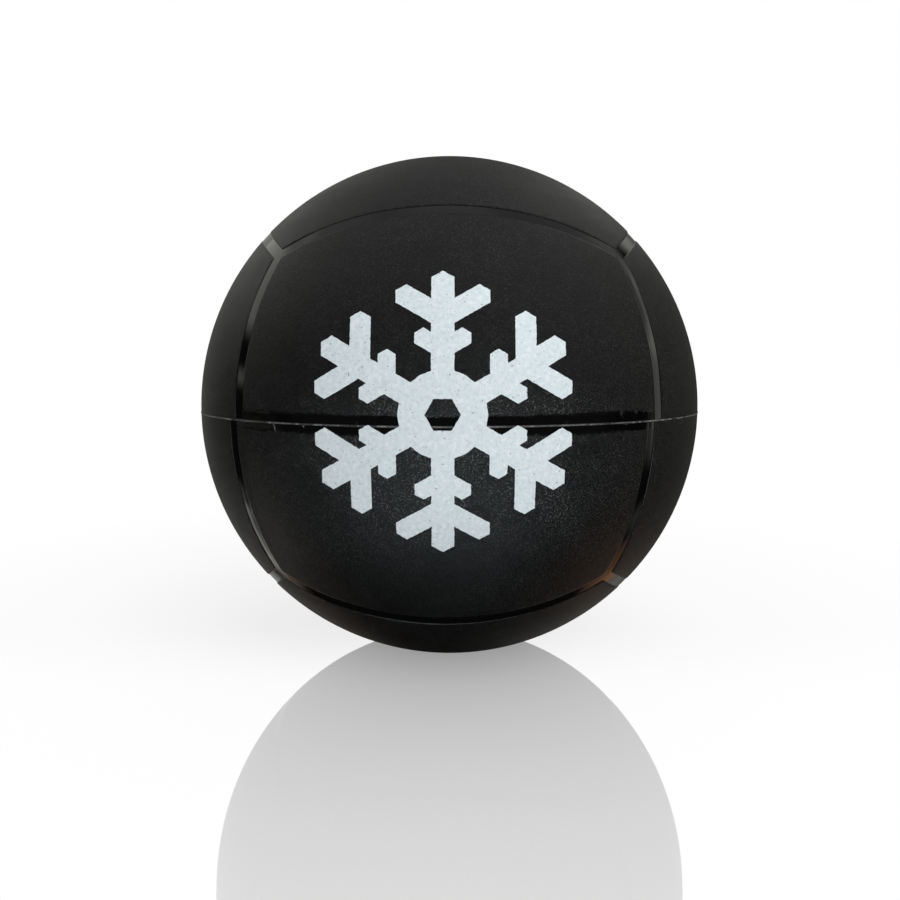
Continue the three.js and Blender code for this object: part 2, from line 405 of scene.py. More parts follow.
    # The rim is flat, half a joint above the equator
    rim = put["Joint thickness"] / 2
    at_rim = abs(g.axis(place, "Z")) < 0.02 * MM
    distance = g.length(place)
    level = g.vector("NORMALIZE", g.vector("MULTIPLY", place, (1.0, 1.0, 0.0)))
    level = g.scaled(level, g.math("SQRT", distance * distance - rim * rim))
    lifted = g.vector("ADD", level, g.combine(0.0, 0.0, rim))
    half = g.node(
        "GeometryNodeSetPosition", None,
        {"Geometry": half, "Selection": at_rim, "Position": lifted})

    inner = g.scaled(g.vector("NORMALIZE", place), radius - put["Wall thickness"])
    inner_rise = g.math("MAXIMUM", g.axis(inner, "Z"), rim)
    inner = g.combine(g.axis(inner, "X"), g.axis(inner, "Y"), inner_rise)
    shell = solid_between(g, half, inner)
    finish_recipe(g, shell, put["Rubber"])
    return g.tree


def half_shell(name, recipe, rubber, seed):
    return follow_recipe(name, recipe, {
        "Ball radius": BALL_RADIUS, "Wall thickness": WALL_THICKNESS, "Height ratio": HEIGHT_RATIO,
        "Band width": BAND_WIDTH, "Band slope": BAND_SLOPE, "Band depth": BAND_DEPTH,
        "Joint thickness": JOINT_THICKNESS, "Panel cells": PANEL_CELLS, "Unevenness": BAND_UNEVENNESS,
        "Shallowest": BAND_SHALLOWEST, "Seed": seed, "Rubber": rubber,
    })


def drill_valve_hole(shell):
    """Cuts the round hole that the valve's neck stands in."""
    cutter_mesh = bpy.data.meshes.new("valve_hole")
    shape = bmesh.new()
    bmesh.ops.create_cone(
        shape, cap_ends=True, segments=TURNED_SEGMENTS, depth=4 * WALL_THICKNESS,
        radius1=NECK_RADIUS + SEAT_CLEARANCE, radius2=NECK_RADIUS + SEAT_CLEARANCE)
    bmesh.ops.translate(shape, verts=shape.verts, vec=(0, 0, BALL_RADIUS))
    shape.to_mesh(cutter_mesh)
    shape.free()
    cutter_mesh.transform(in_wall())
    cutter = placed("valve_hole", cutter_mesh)
    cut = shell.modifiers.new("hole", "BOOLEAN")
    cut.operation = "DIFFERENCE"
    cut.solver = "EXACT"
    cut.object = cutter
    name = shell.name
    shell.name = name + "_uncut"
    drilled = made_plain(shell, name)
    bpy.data.objects.remove(cutter)
    return drilled


# Turned pieces

def turned(name, profile):
    """A solid turned about +Z from a closed profile of radius and height."""
    mesh = bpy.data.meshes.new(name)
    shape = bmesh.new()
    rings = []
    for radius, height in profile:
        if radius == 0:
            rings.append([shape.verts.new((0, 0, height))])
            continue
        ring = []
        for i in range(TURNED_SEGMENTS):
            angle = 2 * math.pi * i / TURNED_SEGMENTS
            ring.append(shape.verts.new((radius * math.cos(angle), radius * math.sin(angle), height)))
        rings.append(ring)
    for lower, upper in zip(rings, rings[1:] + rings[:1]):
        if len(lower) == 1 and len(upper) == 1:
            continue
        for i in range(TURNED_SEGMENTS):
            corners = [lower[i % len(lower)], lower[(i + 1) % len(lower)],
                       upper[(i + 1) % len(upper)], upper[i % len(upper)]]
            shape.faces.new(list(dict.fromkeys(corners)))
    bmesh.ops.recalc_face_normals(shape, faces=shape.faces)
    shape.to_mesh(mesh)
    shape.free()
    return placed(name, mesh)


def rounded_profile(corners):
    """A profile whose corners are rounded: each corner is (radius, height, rounding)."""
    points = []
    count = len(corners)
    for i, (x, z, rounding) in enumerate(corners):
        here = Vector((x, z))
        if rounding == 0:
            points.append((x, z))
            continue
        before = Vector(corners[i - 1][:2]) - here
        after = Vector(corners[(i + 1) % count][:2]) - here
        reach = min(rounding, before.length / 2.2, after.length / 2.2)
        start = here + before.normalized() * reach
        end = here + after.normalized() * reach
        for step in range(5):
            t = step / 4
            point = start * (1 - t) ** 2 + here * 2 * t * (1 - t) + end * t * t
            points.append((point.x, point.y))
    return points


def sphere_height(radius, distance):
    return math.sqrt(radius * radius - distance * distance)


def in_wall():
    """Turns +Z to the valve's direction."""
    return Matrix.Rotation(math.radians(VALVE_ELEVATION - 90), 4, "X")


def valve_housing():
    """A flanged boot: its neck fills the hole in the wall, its barrel holds the plug."""
    flange_face = INNER_RADIUS - CEMENT_CLEARANCE
    counterbore = HEAD_RADIUS + SEAT_CLEARANCE
    corners = [
        (BORE_RADIUS, BARREL_END, SOFT_EDGE),
        (BARREL_RADIUS, BARREL_END, BARREL_EDGE),
        (BARREL_RADIUS, sphere_height(flange_face, BARREL_RADIUS) - FLANGE_ROOT, SOFT_EDGE),
        (FLANGE_RADIUS, sphere_height(flange_face, FLANGE_RADIUS) - FLANGE_EDGE, SOFT_EDGE),
        (FLANGE_RADIUS, sphere_height(flange_face, FLANGE_RADIUS), SOFT_EDGE),
        (FLANGE_MIDDLE, sphere_height(flange_face, FLANGE_MIDDLE), 0),
        (NECK_RADIUS, sphere_height(flange_face, NECK_RADIUS), 0),
        (NECK_RADIUS, sphere_height(NECK_TOP, NECK_RADIUS), SOFT_EDGE),
        (counterbore, sphere_height(NECK_TOP, counterbore), SOFT_EDGE),
        (counterbore, HEAD_SEAT, 0),
        (BORE_RADIUS, HEAD_SEAT, SOFT_EDGE),
        (BORE_RADIUS, RIDGE_LEVEL + RIDGE_LENGTH / 2, 0),
        (BORE_RADIUS + RIDGE_HEIGHT, RIDGE_LEVEL, SOFT_EDGE),
        (BORE_RADIUS, RIDGE_LEVEL - RIDGE_LENGTH / 2, 0),
    ]
    housing = turned("valve_housing_boot", rounded_profile(corners))
    housing.data.transform(in_wall())
    return smoothed(housing, 50)


def valve_plug():
    """The rubber plug that closes round an inflating needle, with a ribbed stem."""
    tip = BARREL_END - PLUG_TAIL
    stem = BORE_RADIUS - SEAT_CLEARANCE
    mouth = NEEDLE_MOUTH_RADIUS
    corners = [
        (0, tip, 0),
        (stem / 2, tip, SOFT_EDGE),
        (stem, tip + stem / 2, SOFT_EDGE),
        (stem, RIDGE_LEVEL - RIDGE_LENGTH / 2, 0),
        (stem + RIDGE_HEIGHT, RIDGE_LEVEL, SOFT_EDGE),
        (stem, RIDGE_LEVEL + RIDGE_LENGTH / 2, 0),
        (stem, HEAD_SEAT + SEAT_CLEARANCE, 0),
        (HEAD_RADIUS, HEAD_SEAT + SEAT_CLEARANCE, SOFT_EDGE),
        (HEAD_RADIUS, sphere_height(NECK_TOP, HEAD_RADIUS), HEAD_EDGE),
        (HEAD_RADIUS * 0.6, sphere_height(NECK_TOP, HEAD_RADIUS * 0.6), 0),
        (mouth, sphere_height(NECK_TOP, mouth), NEEDLE_MOUTH_EDGE),
        (mouth * 0.35, NECK_TOP - NEEDLE_MOUTH_DEPTH * 0.7, 0),
        (0, NECK_TOP - NEEDLE_MOUTH_DEPTH, 0),
    ]
    plug = turned("valve_plug_needle_seal", rounded_profile(corners))
    plug.data.transform(in_wall())
    return smoothed(plug, 50)


# Joint at the equator

JOINT_INPUTS = [
    ("Geometry", "Geometry"), ("Ball radius", "Float"), ("Steps", "Int"),
    ("Unevenness", "Float"), ("Front lowering", "Float"), ("Seed", "Float"),
    ("Cement", "Material"),
]
JOINT_STEPS = 900


def joint_recipe():
    """Sweeps the joint's profile round the equator and roughens the line that stands out."""
    g, put = new_recipe("bonded joint", JOINT_INPUTS)
    path = g.node(
        "GeometryNodeCurvePrimitiveCircle", {"mode": "RADIUS"},
        {"Resolution": put["Steps"], "Radius": put["Ball radius"]})
    profile = g.node("GeometryNodeMeshToCurve", None, {"Mesh": put["Geometry"]})
    ring = g.node("GeometryNodeCurveToMesh", None, {"Curve": path, "Profile Curve": profile})
    place = g.node("GeometryNodeInputPosition")
    flat = g.vector("MULTIPLY", place, (1.0, 1.0, 0.0))
    proud = g.sharper(g.length(flat), put["Ball radius"] - 0.02 * MM, put["Ball radius"] + 0.1 * MM)
    shifted = g.vector("ADD", place, g.combine(put["Seed"], put["Seed"], put["Seed"]))
    coarse = g.noise(shifted, 130.0, 3.0)
    fine = g.noise(shifted, 900.0, 1.0)
    worn = g.sharper(coarse, 0.42, 0.66) * 0.7 + g.sharper(fine, 0.5, 0.7) * 0.5
    front = g.sharper(g.axis(place, "Y"), -66 * MM, -73 * MM)
    lowered = proud * (worn * put["Unevenness"] + front * put["Front lowering"])
    outward = g.vector("NORMALIZE", flat)
    wander = proud * (fine - 0.5) * 0.3 * MM
    offset = g.vector("ADD", g.scaled(outward, 0 - lowered), g.combine(0.0, 0.0, wander))
    ring = g.node("GeometryNodeSetPosition", None, {"Geometry": ring, "Offset": offset})
    finish_recipe(g, ring, put["Cement"])
    return g.tree


def joint_profile():
    """The closed outline of the joint: an edge loop whose X runs outward from the ball's surface."""
    half = JOINT_THICKNESS / 2
    foot = -WALL_THICKNESS - CEMENT_CLEARANCE
    outline = [(foot, -half), (-0.4 * MM, -half), (0.0, -half)]
    for i in range(9):
        angle = math.pi * (i / 8 - 0.5)
        outline.append((JOINT_PROUD * math.cos(angle) ** 0.6, half * 0.93 * math.sin(angle)))
    outline += [(0.0, half), (-0.4 * MM, half), (foot, half)]
    for i in range(13):
        angle = math.pi * (0.5 - i / 12)
        outline.append((foot - BEAD_HEIGHT * math.cos(angle), BEAD_WIDTH / 2 * math.sin(angle)))
    mesh = bpy.data.meshes.new("joint_profile")
    count = len(outline)
    mesh.from_pydata([(x, y, 0) for x, y in outline], [(i, (i + 1) % count) for i in range(count)], [])
    return mesh


def add_tails(mesh):
    """Lays short tapered threads of squeezed out cement on the shell beside the joint."""
    shape = bmesh.new()
    shape.from_mesh(mesh)
    sides = 8
    for tail in TAILS:
        centres = []
        for bearing, height, half_width in tail:
            turn = math.radians(bearing)
            level = math.sqrt(BALL_RADIUS ** 2 - (height * MM) ** 2)
            centres.append((
                Vector((level * math.sin(turn), -level * math.cos(turn), height * MM)), half_width * MM))
        rings = []
        for i, (centre, half_width) in enumerate(centres):
            ahead = centres[min(i + 1, len(centres) - 1)][0] - centres[max(i - 1, 0)][0]
            outward = centre.normalized()
            across = outward.cross(ahead).normalized()
            ring = []
            for k in range(sides):
                angle = 2 * math.pi * k / sides
                offset = across * math.cos(angle) + outward * math.sin(angle) * 0.6
                ring.append(shape.verts.new(centre + offset * half_width))
            rings.append(ring)
        made = [shape.faces.new(rings[0]), shape.faces.new(rings[-1])]
        for lower, upper in zip(rings, rings[1:]):
            for k in range(sides):
                after = (k + 1) % sides
                made.append(shape.faces.new([lower[k], lower[after], upper[after], upper[k]]))
        bmesh.ops.recalc_face_normals(shape, faces=made)
    shape.to_mesh(mesh)
    shape.free()


def bonded_joint(cement):
    joint = follow_recipe("seam_bond_flash", joint_recipe(), {
        "Ball radius": BALL_RADIUS, "Steps": JOINT_STEPS, "Unevenness": FLASH_UNEVENNESS,
        "Front lowering": FRONT_LOWERING, "Seed": 3.7, "Cement": cement,
    }, joint_profile())
    add_tails(joint.data)
    return smoothed(joint, 60)


# Print

def arm_outline():
    """One arm of the snowflake and its share of the hub, as corners along and across the arm."""
    lean = math.radians(60)
    point = math.tan(math.radians(30))  # how far a pointed end stands out, for its half width
    bisector = (math.cos(math.radians(30)), math.sin(math.radians(30)))
    side = [
        (HUB_HOLE * bisector[0], HUB_HOLE * bisector[1]),
        (HUB_REACH * bisector[0], HUB_REACH * bisector[1]),
        (HUB_REACH * 0.96, SPINE_HALF_WIDTH),
    ]
    for root, length, half_width in BRANCHES:
        run = half_width / math.sin(lean)
        middle = root + SPINE_HALF_WIDTH / math.tan(lean)
        tip = (root + length * math.cos(lean), length * math.sin(lean))
        back = (-half_width * math.sin(lean), half_width * math.cos(lean))
        ahead = (point * half_width * math.cos(lean), point * half_width * math.sin(lean))
        side += [
            (middle - run, SPINE_HALF_WIDTH),
            (tip[0] + back[0], tip[1] + back[1]),
            (tip[0] + ahead[0], tip[1] + ahead[1]),
            (tip[0] - back[0], tip[1] - back[1]),
            (middle + run, SPINE_HALF_WIDTH),
        ]
    side.append((ARM_LENGTH - SPINE_HALF_WIDTH * point, SPINE_HALF_WIDTH))
    other = [(along, -across) for along, across in reversed(side)]
    return side + [(ARM_LENGTH, 0.0)] + other


def arm_mesh(spacing):
    """The arm as one face, its outline divided finely but for the edges shared with its neighbours."""
    # The outline runs clockwise, so it is turned round to face up
    corners = arm_outline()[::-1]
    points = []
    count = len(corners)
    for i, start in enumerate(corners):
        end = corners[(i + 1) % count]
        shared = i in (0, count - 2)
        gap = math.dist(start, end)
        steps = 1 if shared else max(1, round(gap / spacing))
        for k in range(steps):
            t = k / steps
            points.append((start[0] + (end[0] - start[0]) * t, start[1] + (end[1] - start[1]) * t, 0.0))
    mesh = bpy.data.meshes.new("snowflake_arm")
    mesh.from_pydata(points, [], [list(range(len(points)))])
    return mesh


PRINT_INPUTS = [
    ("Geometry", "Geometry"), ("Ball radius", "Float"), ("Ink thickness", "Float"),
    ("Arms", "Int"), ("Centre right", "Float"), ("Centre up", "Float"), ("Reach", "Float"),
    ("Raggedness", "Float"), ("Ridge height", "Float"), ("Ink", "Material"),
]
FILM_COLUMNS = 71
FILM_ROWS = 141
FILM_MARGIN = 3 * MM
OUTLINE_STEP = 0.3 * MM


def print_recipe():
    """Repeats an arm round the hub and cuts its shape from a film that follows the ball."""
    g, put = new_recipe("snowflake print", PRINT_INPUTS)
    place = g.node("GeometryNodeInputPosition")
    points = g.node("GeometryNodePoints", None, {"Count": put["Arms"]})
    turn = (g.node("GeometryNodeInputIndex") + 0.5) * 2 * math.pi / put["Arms"]
    rotation = g.node("FunctionNodeEulerToRotation", None, {0: g.combine(0.0, 0.0, turn)})
    arms = g.node(
        "GeometryNodeInstanceOnPoints", None,
        {"Points": points, "Instance": put["Geometry"], "Rotation": rotation})
    flake = g.node("GeometryNodeRealizeInstances", None, {0: arms})
    flake = g.node("GeometryNodeMergeByDistance", None, {"Geometry": flake, "Distance": 1e-6})
    ragged = g.noise(place, 1300.0, 2.0).other("Color")
    shake = g.scaled(g.vector("SUBTRACT", ragged, (0.5, 0.5, 0.5)), put["Raggedness"])
    shake = g.vector("MULTIPLY", shake, (1.0, 1.0, 0.0))
    flake = g.node("GeometryNodeSetPosition", None, {"Geometry": flake, "Offset": shake})

    # The flat shape becomes a die that points through the front of the ball
    along = g.axis(place, "X") + put["Centre right"]
    upward = g.axis(place, "Y") + put["Centre up"]
    front = g.combine(along, 0 - put["Ball radius"] * 1.1, upward)
    back = g.combine(g.axis(place, "X"), 0 - put["Ball radius"] * 0.6, g.axis(place, "Z"))
    standing = g.node("GeometryNodeSetPosition", None, {"Geometry": flake, "Position": front})
    die = solid_between(g, standing, back)

    # A thin film over the front of the ball, with close rows where it climbs over the joint
    sheet = g.node("GeometryNodeMeshGrid", None, {0: 2.0, 1: 2.0, 2: FILM_COLUMNS, 3: FILM_ROWS})
    row = g.axis(place, "Y")
    height = put["Reach"] * 1.08 * (row * 0.16 + row * row * row * 0.84)
    width = put["Reach"] * 1.04 * g.axis(place, "X")
    inward = put["Ball radius"] * put["Ball radius"] - height * height - width * width
    front_point = g.combine(width, 0 - g.math("SQRT", inward), height)
    ridge = g.sharper(abs(height), 0.75 * MM, 0.1 * MM) * put["Ridge height"]
    over = put["Ball radius"] + put["Ink thickness"] + ridge
    top = g.scaled(g.vector("NORMALIZE", front_point), over)
    film = g.node("GeometryNodeSetPosition", None, {"Geometry": sheet, "Position": top})
    under = g.scaled(g.vector("NORMALIZE", place), put["Ball radius"] - put["Ink thickness"])
    film = solid_between(g, film, under)

    ink = g.node(
        "GeometryNodeMeshBoolean", {"operation": "INTERSECT", "solver": "EXACT"},
        {"Mesh 2": [film, die]})
    finish_recipe(g, ink, put["Ink"])
    return g.tree


def snowflake_print(ink):
    flake = follow_recipe("snowflake_print", print_recipe(), {
        "Ball radius": BALL_RADIUS, "Ink thickness": INK_THICKNESS, "Arms": 6,
        "Centre right": PRINT_CENTRE[0], "Centre up": PRINT_CENTRE[1], "Reach": ARM_LENGTH + FILM_MARGIN,
        "Raggedness": INK_RAGGEDNESS, "Ridge height": INK_OVER_JOINT, "Ink": ink,
    }, arm_mesh(OUTLINE_STEP))
    return smoothed(flake, 40)


# Materials

BUFFED_ABOVE = (3.3 * MM, 2.1 * MM)  # heights between which the buffed strip's gloss sets in
BUFFED_BELOW = (-2.7 * MM, -1.6 * MM)
PANEL_SIDES = 0.955  # how far the front panel reaches sideways, as a share of its distance forward
PANEL_ROUGHNESS = 0.4
BAND_ROUGHNESS = 0.1


def new_material(name):
    material = bpy.data.materials.new(name)
    material.use_nodes = True
    material.node_tree.nodes.clear()
    return material, Graph(material.node_tree)


def place_on_object(graph):
    return graph.node("ShaderNodeTexCoord", None, None, "Object")


def end_material(graph, shader):
    graph.node("ShaderNodeOutputMaterial", None, {"Surface": shader})


def finish_material(graph, inputs):
    """Ends a material in a Principled shader with these inputs."""
    end_material(graph, graph.node("ShaderNodeBsdfPrincipled", None, inputs))


def moulded_rubber():
    """Black rubber: matte and grained on the panels, glossy in the bands and on the buffed joint."""
    material, g = new_material("moulded_black_rubber")
    place = place_on_object(g)
    band = g.node("ShaderNodeAttribute", {"attribute_name": "band"}, None, "Fac")
    floor = g.sharper(band, 0.35, 0.9)

    # The front panel is buffed smooth in a narrow strip on both sides of the joint
    right, depth, up = (g.axis(place, name) for name in ("X", "Y", "Z"))
    wobble = g.noise(place, 230.0, 3.0)
    mottle = g.noise(place, 900.0, 2.0)
    edge = (wobble - 0.5) * 1.5 * MM + (mottle - 0.5) * 0.7 * MM
    above = g.sharper(up + edge, *BUFFED_ABOVE)
    below = g.sharper(up + edge, *BUFFED_BELOW)
    on_front = g.sharper(0 - depth * PANEL_SIDES - abs(right) + edge, -0.2 * MM, 1.0 * MM)
    patchy = g.sharper(wobble, 0.24, 0.34)
    strip = above * below * on_front * patchy

    smudges = g.noise(place, 75.0, 4.0)
    blotches = g.noise(place, 260.0, 2.0)
    dust_and_glint_noise = g.noise(place, 2700.0, 1.0)
    streaks = g.noise(g.vector("MULTIPLY", place, (40.0, 40.0, 420.0)), 1.0, 3.0)
    glossy = g.math("MAXIMUM", floor, strip)

    # Flecks of dust lie all over; beside the buffed strip in the middle of the front, where the highlight
    # falls, denser bright flecks in the base colour are painted glints
    painted_glint_area = g.sharper(up, 11 * MM, 3 * MM) * g.sharper(up, -38 * MM, -14 * MM) * on_front
    middle = 0.15 + g.sharper(abs(right), 42 * MM, 14 * MM) * 0.85
    dust_and_glint_share = g.sharper(smudges + (blotches - 0.5) * 0.3, 0.2, 0.7) * (0.15 + painted_glint_area * middle * 1.5)
    flecks = g.sharper(dust_and_glint_noise, 0.54, 0.7) * (0.012 + dust_and_glint_share * 0.065)
    matte_tone = 0.0044 + (smudges - 0.5) * 0.004 + (blotches - 0.5) * 0.003 + flecks
    tone = matte_tone * (1 - glossy) + glossy * 0.0011

    # Below the joint the front is rubbed a little smoother
    handled = g.sharper(up, -1 * MM, -5 * MM) * g.sharper(up, -46 * MM, -32 * MM) * on_front
    matte_roughness = PANEL_ROUGHNESS - handled * 0.09 + (smudges - 0.5) * 0.14 + (streaks - 0.5) * 0.08
    glossy_roughness = BAND_ROUGHNESS + g.sharper(smudges, 0.5, 0.75) * 0.1
    roughness = matte_roughness * (1 - glossy) + glossy_roughness * glossy

    coarse_grain = g.noise(place, 3600.0, 1.0)
    fine_grain = g.node("ShaderNodeTexVoronoi", {"feature": "F1"}, {"Vector": place, "Scale": 4300.0})
    pebble = g.noise(place, 620.0, 2.0)
    grain = (coarse_grain * 1.1 + fine_grain * 0.7) * (1 - glossy) * (0.8 + handled * 0.2)
    grain = grain + pebble * strip * 0.3
    bumped = g.node("ShaderNodeBump", None, {"Strength": 1.0, "Distance": 0.12 * MM, "Height": grain})
    finish_material(g, {
        "Base Color": g.grey(tone), "Roughness": roughness, "Normal": bumped,
    })
    return material


def white_ink():
    """Screen ink: a bluish white with an orange peel surface and a few pinholes."""
    material, g = new_material("white_screen_ink")
    place = place_on_object(g)
    cloud = g.noise(place, 60.0, 3.0)
    peel = g.noise(place, 1100.0, 2.0)
    pinholes = g.sharper(g.noise(place, 1700.0, 1.0), 0.30, 0.24)
    tone = g.mixed(cloud, (0.64, 0.73, 0.765, 1.0), (0.72, 0.80, 0.835, 1.0))
    tone = g.mixed(g.sharper(peel, 0.5, 0.3) * 0.45, tone, (0.53, 0.60, 0.635, 1.0))
    speckled = g.mixed(g.sharper(peel, 0.54, 0.68) * 0.55, tone, (0.84, 0.88, 0.90, 1.0))
    worn = g.mixed(pinholes * 0.7, speckled, (0.10, 0.11, 0.115, 1.0))
    bumped = g.node("ShaderNodeBump", None, {"Strength": 0.5, "Distance": 0.03 * MM, "Height": peel})
    finish_material(g, {
        "Base Color": worn, "Roughness": 0.42 + (cloud - 0.5) * 0.15, "Normal": bumped,
    })
    return material


def grey_cement():
    """Cured cement in the joint: patchy grey with light clots, and painted shade darkening the flanks of
    the flash beside its crest.
    """
    material, g = new_material("grey_joint_cement")
    place = place_on_object(g)
    patches = g.noise(place, 160.0, 3.0)
    specks = g.noise(place, 1800.0, 2.0)
    clots = g.noise(place, 640.0, 2.0)
    tone = g.mixed(g.sharper(patches, 0.35, 0.65), (0.022, 0.023, 0.023, 1.0), (0.13, 0.133, 0.13, 1.0))
    clotted = g.mixed(g.sharper(clots, 0.54, 0.66) * 0.7, tone, (0.27, 0.275, 0.27, 1.0))
    speckled = g.mixed(g.sharper(specks, 0.5, 0.7) * 0.5, clotted, (0.2, 0.205, 0.2, 1.0))
    # Painted shade: the flanks of the flash, down to where it meets the shell, are darkened
    crest = abs(g.axis(place, "Z")) + (specks - 0.5) * 0.12 * MM
    painted_flank_shade = g.sharper(crest, 0.13 * MM, 0.2 * MM) * g.sharper(crest, 0.36 * MM, 0.3 * MM)
    speckled = g.mixed(painted_flank_shade, speckled, (0.006, 0.006, 0.006, 1.0))
    bumped = g.node("ShaderNodeBump", None, {"Strength": 0.5, "Distance": 0.04 * MM, "Height": specks})
    finish_material(g, {
        "Base Color": speckled, "Roughness": 0.42 + (specks - 0.5) * 0.2, "Normal": bumped,
    })
    return material


def valve_rubber(name, tone, roughness):
    """Smooth moulded rubber with a slight bloom."""
    material, g = new_material(name)
    place = place_on_object(g)
    bloom = g.noise(place, 420.0, 3.0)
    grain = g.noise(place, 2400.0, 2.0)
    bumped = g.node("ShaderNodeBump", None, {"Strength": 0.4, "Distance": 0.02 * MM, "Height": grain})
    finish_material(g, {
        "Base Color": g.grey(tone + (bloom - 0.5) * tone * 0.6),
        "Roughness": roughness + (bloom - 0.5) * 0.2,
        "Normal": bumped,
    })
    return material


# Studio

CAMERA_PLACE = (1.3 * MM, -269.2 * MM, 15.5 * MM)
CAMERA_TILT = -6.14  # degrees from level
CAMERA_PAN = 0.24  # degrees from straight ahead
CAMERA_LENS = 33.75  # for a sensor 36 mm wide
WORLD_LIGHT = 0.4
FLOOR_REACH = 6.0
FLOOR_SHADED = 0.42  # the part of the floor's brightness that shadows can take away
SHADOW_SPREAD = 0.035  # square metres: the shadow's reach from the ball, squared
FLOOR_WHITE = 1.01  # a touch over full white, so that the open floor stays white
FLOOR_MIRROR = 0.6
MIRROR_FADE = 0.19  # metres over which the floor's polish falls to a third
WHITE = (1.0, 1.0, 1.0, 1.0)
YELLOWISH = (1.0, 1.0, 0.93, 1.0)
BROWN = (1.0, 0.5, 0.26, 1.0)
BLUISH = (0.82, 1.0, 1.05, 1.0)
TENT_RADIUS = 3.0
WHITE_ROOM_RADIUS = 4.0
DARK_CLOTH = 0.012

# The ball's gloss shows these patches of the tent. Each has its brightness, the lowest and highest
# elevation, the left and right bearing from the front, and its softness, all in degrees.
TENT_PATCHES = [
    (0.1, 40, 68, -120, -30, 10),  # high on the left
    (0.38, 30, 60, 30, 100, 10),  # high on the right
    (-0.07, 40, 68, 150, 185, 8),  # darker cloth high up behind the ball
    (-0.07, 40, 68, -185, -150, 8),
    (0.04, -12, 25, -70, 70, 8),  # the room in front
    (0.13, -22, -4, -103, -77, 4),  # low on the left
    (0.7, 19, 37, -148, -103, 3),  # seen in the upper part of the left band
    (0.4, 4, 9, -136, -100, 2),  # a short gleam lower in that band
    (0.28, -19, 15, -165, -134, 5),  # seen along the left rim
    (0.3, 37, 47, -131, -117, 4),  # seen at both ends of the top band
    (0.3, 36, 47, 117, 131, 4),
    (0.24, -42, -33, -165, -112, 3),  # seen at the left end of the bottom band
    (0.3, -33, -18, -172, -147, 4),  # seen in the lower left corner
    (0.38, 15, 42, -170, -148, 6),  # seen in the upper left corner
    (0.12, 12, 46, 168, 190, 6),  # straight behind the ball
    (0.12, 12, 46, -190, -168, 6),
    (0.58, -14, 19, 98, 110, 4),  # seen in the right band beside the joint
    (0.12, -30, 22, 134, 172, 6),  # seen along the right rim
    (0.52, 22, 48, 138, 164, 6),  # seen in the upper right corner
    (0.22, -46, -28, 136, 170, 5),  # seen in the lower right corner
    (0.28, -46, -31, 117, 142, 3),  # the brown table, seen in the lower right bands
    (0.12, -42, -33, 130, 142, 3),
    (0.16, -33, -25, 106, 118, 3),  # grey light beside it
    (2.7, -36, -23, -34, 34, 4),  # the bright table before the ball
    (1.2, -23, -11, -34, 34, 3),
]
# Strips of light that slant: brightness, left bearing and elevation, right bearing and elevation,
# half height and softness.
TENT_STRIPS = [
    (0.88, -139, -32, -117, -21, 4, 2),  # seen in the lower part of the left band
    (0.65, 106, 16, 124, 33, 5, 3),  # seen in the upper part of the right band
]


def add_camera():
    data = bpy.data.cameras.new("photo_camera")
    data.sensor_width = 36
    data.lens = CAMERA_LENS
    data.clip_start = 0.01
    camera = bpy.data.objects.new("photo_camera", data)
    camera.location = CAMERA_PLACE
    camera.rotation_euler = (math.radians(90 + CAMERA_TILT), 0, math.radians(CAMERA_PAN))
    bpy.context.scene.collection.objects.link(camera)
    bpy.context.scene.camera = camera


def add_soft_lamp(name, place, size, watts):
    """A square soft box that faces the ball, and lights surfaces without showing in their gloss."""
    data = bpy.data.lights.new(name, "AREA")
    data.shape = "SQUARE"
    data.size = size
    data.energy = watts
    lamp = bpy.data.objects.new(name, data)
    lamp.location = place
    lamp.rotation_euler = (-Vector(place)).to_track_quat("-Z", "Y").to_euler()
    lamp.visible_glossy = False
    bpy.context.scene.collection.objects.link(lamp)


def white_where_seen(g):
    """1 for what is seen straight, in gloss or through glass, and 0 for light that falls on things."""
    path = g.node("ShaderNodeLightPath", None, None, "Is Camera Ray")
    seen = g.math("MAXIMUM", path, path.other("Is Glossy Ray"))
    return g.math("MAXIMUM", seen, path.other("Is Transmission Ray"))


def add_floor():
    """A pale polished floor: it keeps the ball's shadow and mirrors the ball, less so further out."""
    mesh = bpy.data.meshes.new("floor")
    sides = ((-1, -1), (1, -1), (1, 1), (-1, 1))
    corners = [(x * FLOOR_REACH, y * FLOOR_REACH, -BALL_RADIUS) for x, y in sides]
    mesh.from_pydata(corners, [], [(0, 1, 2, 3)])
    floor = placed("floor", mesh)
    floor.visible_glossy = False
    material, g = new_material("pale_floor")
    place = place_on_object(g)
    distance = g.length(g.vector("MULTIPLY", place, (1.0, 1.0, 0.0)))
    polish = FLOOR_MIRROR * g.math("EXPONENT", 0 - distance / MIRROR_FADE)
    behind = g.sharper(g.axis(place, "Y"), -0.05, 0.02, 0.3, 1.0)
    shaded = FLOOR_SHADED * behind * g.math("EXPONENT", 0 - distance * distance / SHADOW_SPREAD)
    lit = g.node("ShaderNodeBsdfDiffuse", None, {"Color": g.grey(shaded)})
    even = g.node("ShaderNodeEmission", None, {"Color": WHITE, "Strength": FLOOR_WHITE - shaded})
    pale = g.node("ShaderNodeAddShader", None, {0: lit, 1: even})
    mirror = g.node("ShaderNodeBsdfGlossy", None, {"Color": WHITE, "Roughness": 0.02})
    polished = g.node("ShaderNodeMixShader", None, {0: polish, 1: pale, 2: mirror})
    plain = g.node("ShaderNodeBsdfDiffuse", None, {"Color": (0.85, 0.85, 0.85, 1.0)})
    mixed = g.node("ShaderNodeMixShader", None, {0: white_where_seen(g), 1: plain, 2: polished})
    end_material(g, mixed)
    mesh.materials.append(material)
    return floor


